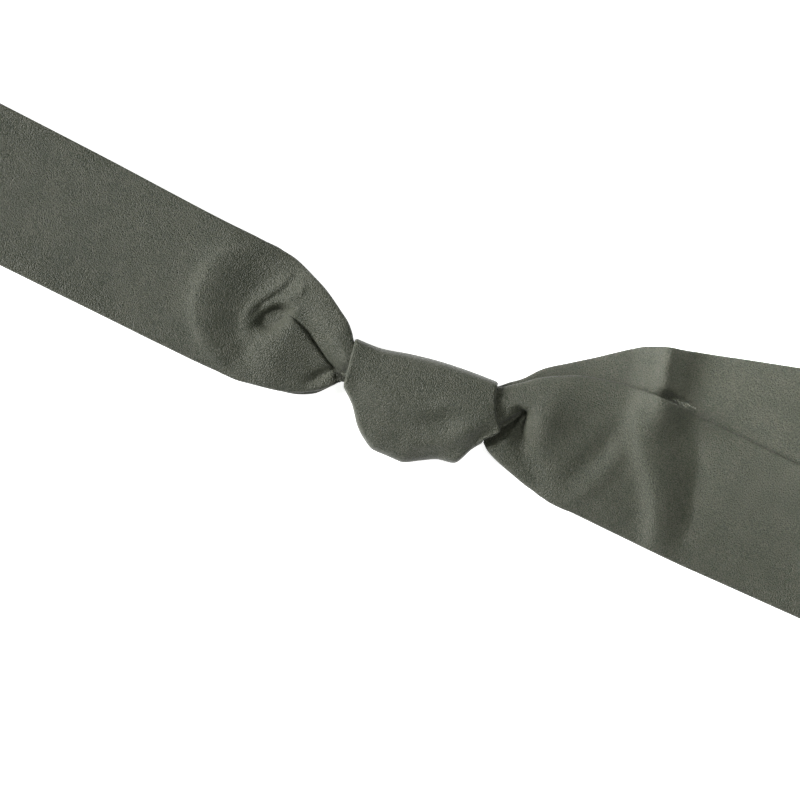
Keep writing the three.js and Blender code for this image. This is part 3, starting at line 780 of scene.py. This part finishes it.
# The coated cloth. A pattern's scale is how many of its cells lie on one metre.
PEBBLES = 1600
PEBBLE_DEPTH = 0.9  # against the grain, which is 1
PEBBLE_SOFTNESS = 0.6
GRAIN = 1800
PATCHES = 90
GRAIN_SHARE = 0.88  # of the speckle
PATCH_SHARE = 0.12
SPECKLE_ENDS = (0.4, 0.6)  # the speckle's values that are darkest and lightest
GLOSS_ENDS = (0.3, 0.7)  # the grain's values that are shiniest and dullest
DETAIL = 3  # finer layers in a noise
RELIEF = 0.00045  # height of the whole relief, in metres
DARK_SPECK = (0.011, 0.017, 0.006)
LIGHT_SPECK = (0.078, 0.078, 0.055)
SHINY_SPOT = (0.42, 0.42, 0.42)  # its roughness, as a grey
DULL_SPOT = (0.56, 0.56, 0.56)


def set_inputs(node, values):
    """Sets sockets of a shader node by their names."""
    for name, value in values.items():
        node.inputs[name].default_value = value


def coated_cloth():
    """Soft cloth with a finely pebbled coat: low gloss, and a grey that is greener in its darker specks."""
    material = bpy.data.materials.new("coated_cloth")
    material.use_nodes = True
    tree = material.node_tree
    shader = tree.nodes["Principled BSDF"]
    place = tree.nodes.new("ShaderNodeTexCoord").outputs["Object"]

    def noise(scale, roughness):
        made = tree.nodes.new("ShaderNodeTexNoise")
        set_inputs(made, {"Scale": scale, "Detail": DETAIL, "Roughness": roughness})
        tree.links.new(place, made.inputs["Vector"])
        return made.outputs["Fac"]

    def ramp(value, ends, colours):
        made = tree.nodes.new("ShaderNodeValToRGB")
        tree.links.new(value, made.inputs["Fac"])
        for point, at, colour in zip(made.color_ramp.elements, ends, colours):
            point.position = at
            point.color = (*colour, 1)
        return made.outputs["Color"]

    def math_node(operation, a, b):
        made = tree.nodes.new("ShaderNodeMath")
        made.operation = operation
        for socket, value in zip(made.inputs, (a, b)):
            if hasattr(value, "node"):
                tree.links.new(value, socket)
            else:
                socket.default_value = value
        return made.outputs[0]

    # Pebbles about 0.6 mm across, with finer grain on them
    pebbles = tree.nodes.new("ShaderNodeTexVoronoi")
    pebbles.feature = "SMOOTH_F1"
    set_inputs(pebbles, {"Scale": PEBBLES, "Smoothness": PEBBLE_SOFTNESS})
    tree.links.new(place, pebbles.inputs["Vector"])
    grain = noise(GRAIN, roughness=0.65)
    patches = noise(PATCHES, roughness=0.5)
    pebble_relief = math_node("MULTIPLY", pebbles.outputs["Distance"], -PEBBLE_DEPTH)
    relief = math_node("ADD", pebble_relief, grain)

    bump = tree.nodes.new("ShaderNodeBump")
    set_inputs(bump, {"Strength": 1, "Distance": RELIEF})
    tree.links.new(relief, bump.inputs["Height"])
    tree.links.new(bump.outputs["Normal"], shader.inputs["Normal"])

    grain_tone = math_node("MULTIPLY", grain, GRAIN_SHARE)
    patch_tone = math_node("MULTIPLY", patches, PATCH_SHARE)
    speckle = math_node("ADD", grain_tone, patch_tone)
    tones = ramp(speckle, SPECKLE_ENDS, (DARK_SPECK, LIGHT_SPECK))
    tree.links.new(tones, shader.inputs["Base Color"])
    gloss = ramp(grain, GLOSS_ENDS, (SHINY_SPOT, DULL_SPOT))
    tree.links.new(gloss, shader.inputs["Roughness"])
    set_inputs(shader, {"Specular IOR Level": 0.5, "Sheen Weight": 0.08, "Sheen Roughness": 0.5})
    return material


FLOOR_REACH = 6  # half the floor's width, in metres
FULL_SPREAD = 180  # of an area light, in degrees


def area_light(name, place, aim, size, power, spread=FULL_SPREAD):
    """A round lamp. place, aim and size are in metres, power is in watts and spread in degrees."""
    data = bpy.data.lights.new(name, "AREA")
    data.shape = "DISK"
    data.size = size
    data.energy = power
    data.spread = math.radians(spread)
    light = bpy.data.objects.new(name, data)
    light.location = place
    light.rotation_euler = (Vector(aim) - Vector(place)).to_track_quat("-Z", "Y").to_euler()
    bpy.context.collection.objects.link(light)


def pale_floor():
    """A floor that glows, so that it stays as white round the strap as in the photograph."""
    mesh = bpy.data.meshes.new("floor")
    reach = FLOOR_REACH
    corners = [(-reach, -reach, 0), (reach, -reach, 0), (reach, reach, 0), (-reach, reach, 0)]
    mesh.from_pydata(corners, [], [(0, 1, 2, 3)])
    floor = bpy.data.objects.new("floor", mesh)
    paint = bpy.data.materials.new("pale_floor")
    paint.use_nodes = True
    set_inputs(
        paint.node_tree.nodes["Principled BSDF"],
        {
            "Base Color": (0.9, 0.9, 0.895, 1),
            "Roughness": 0.9,
            "Specular IOR Level": 0.1,
            "Emission Color": (1, 1, 1, 1),
            "Emission Strength": 0.9,
        },
    )
    mesh.materials.append(paint)
    bpy.context.collection.objects.link(floor)


def studio():
    """The floor, a dim greenish room, a strong key light from the left and two faint lamps on the tails."""
    pale_floor()
    world = bpy.data.worlds.new("room")
    bpy.context.scene.world = world
    world.use_nodes = True
    set_inputs(world.node_tree.nodes["Background"], {"Color": (0.6, 1, 0.48, 1), "Strength": 0.05})
    area_light("key", place=(-2.6, -0.4, 1.2), aim=(0, 0, 0), size=1.1, power=185)
    area_light("top", place=(0.2, 0.06, 0.36), aim=(0.2, 0.06, 0), size=0.22, power=0.8)
    area_light("rear", place=(-0.2, 0.175, 0.36), aim=(0.13, 0.085, 0), size=0.08, power=0.034, spread=18)


# The photograph looks straight down on the floor. Sizes are in metres, as the scene has them.
PHOTO_TURN = 26  # degrees
PHOTO_WIDTH = 0.3862  # of the floor
PHOTO_MIDDLE = (-0.01085, -0.00529)
CAMERA_HEIGHT = 3.0
CAMERA_REACH = 20
SENSOR = 36  # millimetres


def camera():
    """The photograph's view."""
    data = bpy.data.cameras.new("camera")
    data.sensor_width = SENSOR
    data.lens = SENSOR * CAMERA_HEIGHT / PHOTO_WIDTH
    data.clip_end = CAMERA_REACH
    made = bpy.data.objects.new("camera", data)
    made.location = (*PHOTO_MIDDLE, CAMERA_HEIGHT)
    made.rotation_euler = (0, 0, math.radians(PHOTO_TURN))
    bpy.context.collection.objects.link(made)
    bpy.context.scene.camera = made


bpy.context.scene.view_settings.view_transform = "Standard"
camera()
studio()
cloth = coated_cloth()
for make, cad_node, length in (
    (waist_loop, "waist_loop", 0.780),
    (knot_wrap, "knot_wrap", 0.130),
    (front_tail, "front_tail", 0.235),
    (back_tail, "back_tail", 0.205),
):
    piece = make()
    piece.data.materials.append(cloth)
    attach(piece, "root")
    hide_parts(cad_node)
